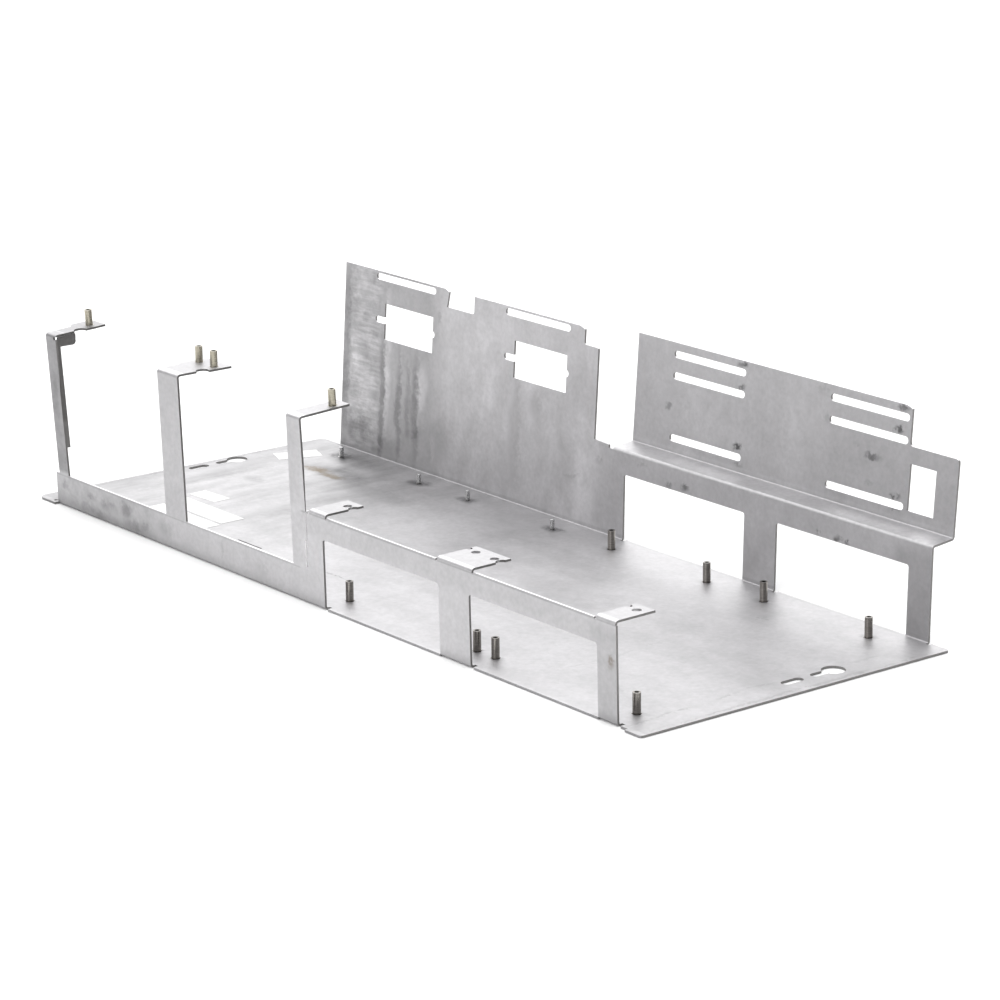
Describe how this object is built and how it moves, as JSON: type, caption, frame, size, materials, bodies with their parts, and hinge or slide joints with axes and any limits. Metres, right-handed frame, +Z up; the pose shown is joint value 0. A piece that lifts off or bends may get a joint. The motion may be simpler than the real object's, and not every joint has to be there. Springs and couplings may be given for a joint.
{
  "type": "sheet metal chassis",
  "caption": "Open folded-sheet chassis with a flat base, windowed low front wall, tall tabbed arms, slotted rear panels, a stepped ledge, clinched standoffs and keyholes.",
  "frame": {"origin": "middle of the base plate's underside", "axes": "+X along the length towards the end with the right bays, +Y from the front wall to the rear wall, +Z up"},
  "size_m": [0.54, 0.2258, 0.1136],
  "materials": {
    "sheet": "satin bare metal",
    "fastener": "dull plated",
    "label": "matte paper"
  },
  "bodies": {
    "root": {"base_standoff_front_1": "fastener", "base_standoff_front_2": "fastener", "base_standoff_front_3": "fastener", "base_standoff_front_4": "fastener", "base_standoff_rear_1": "fastener", "base_standoff_rear_2": "fastener", "base_standoff_rear_3": "fastener", "base_standoff_rear_4": "fastener", "base_stud_1": "fastener", "base_stud_2": "fastener", "base_stud_3": "fastener", "base_stud_4": "fastener", "chassis_sheet": "sheet", "label_1": "label", "label_2": "label", "label_3": "label", "label_4": "label", "tab_standoff_left": "fastener", "tab_standoff_middle_1": "fastener", "tab_standoff_middle_2": "fastener", "tab_standoff_right": "fastener"}
  },
  "joints": []
}
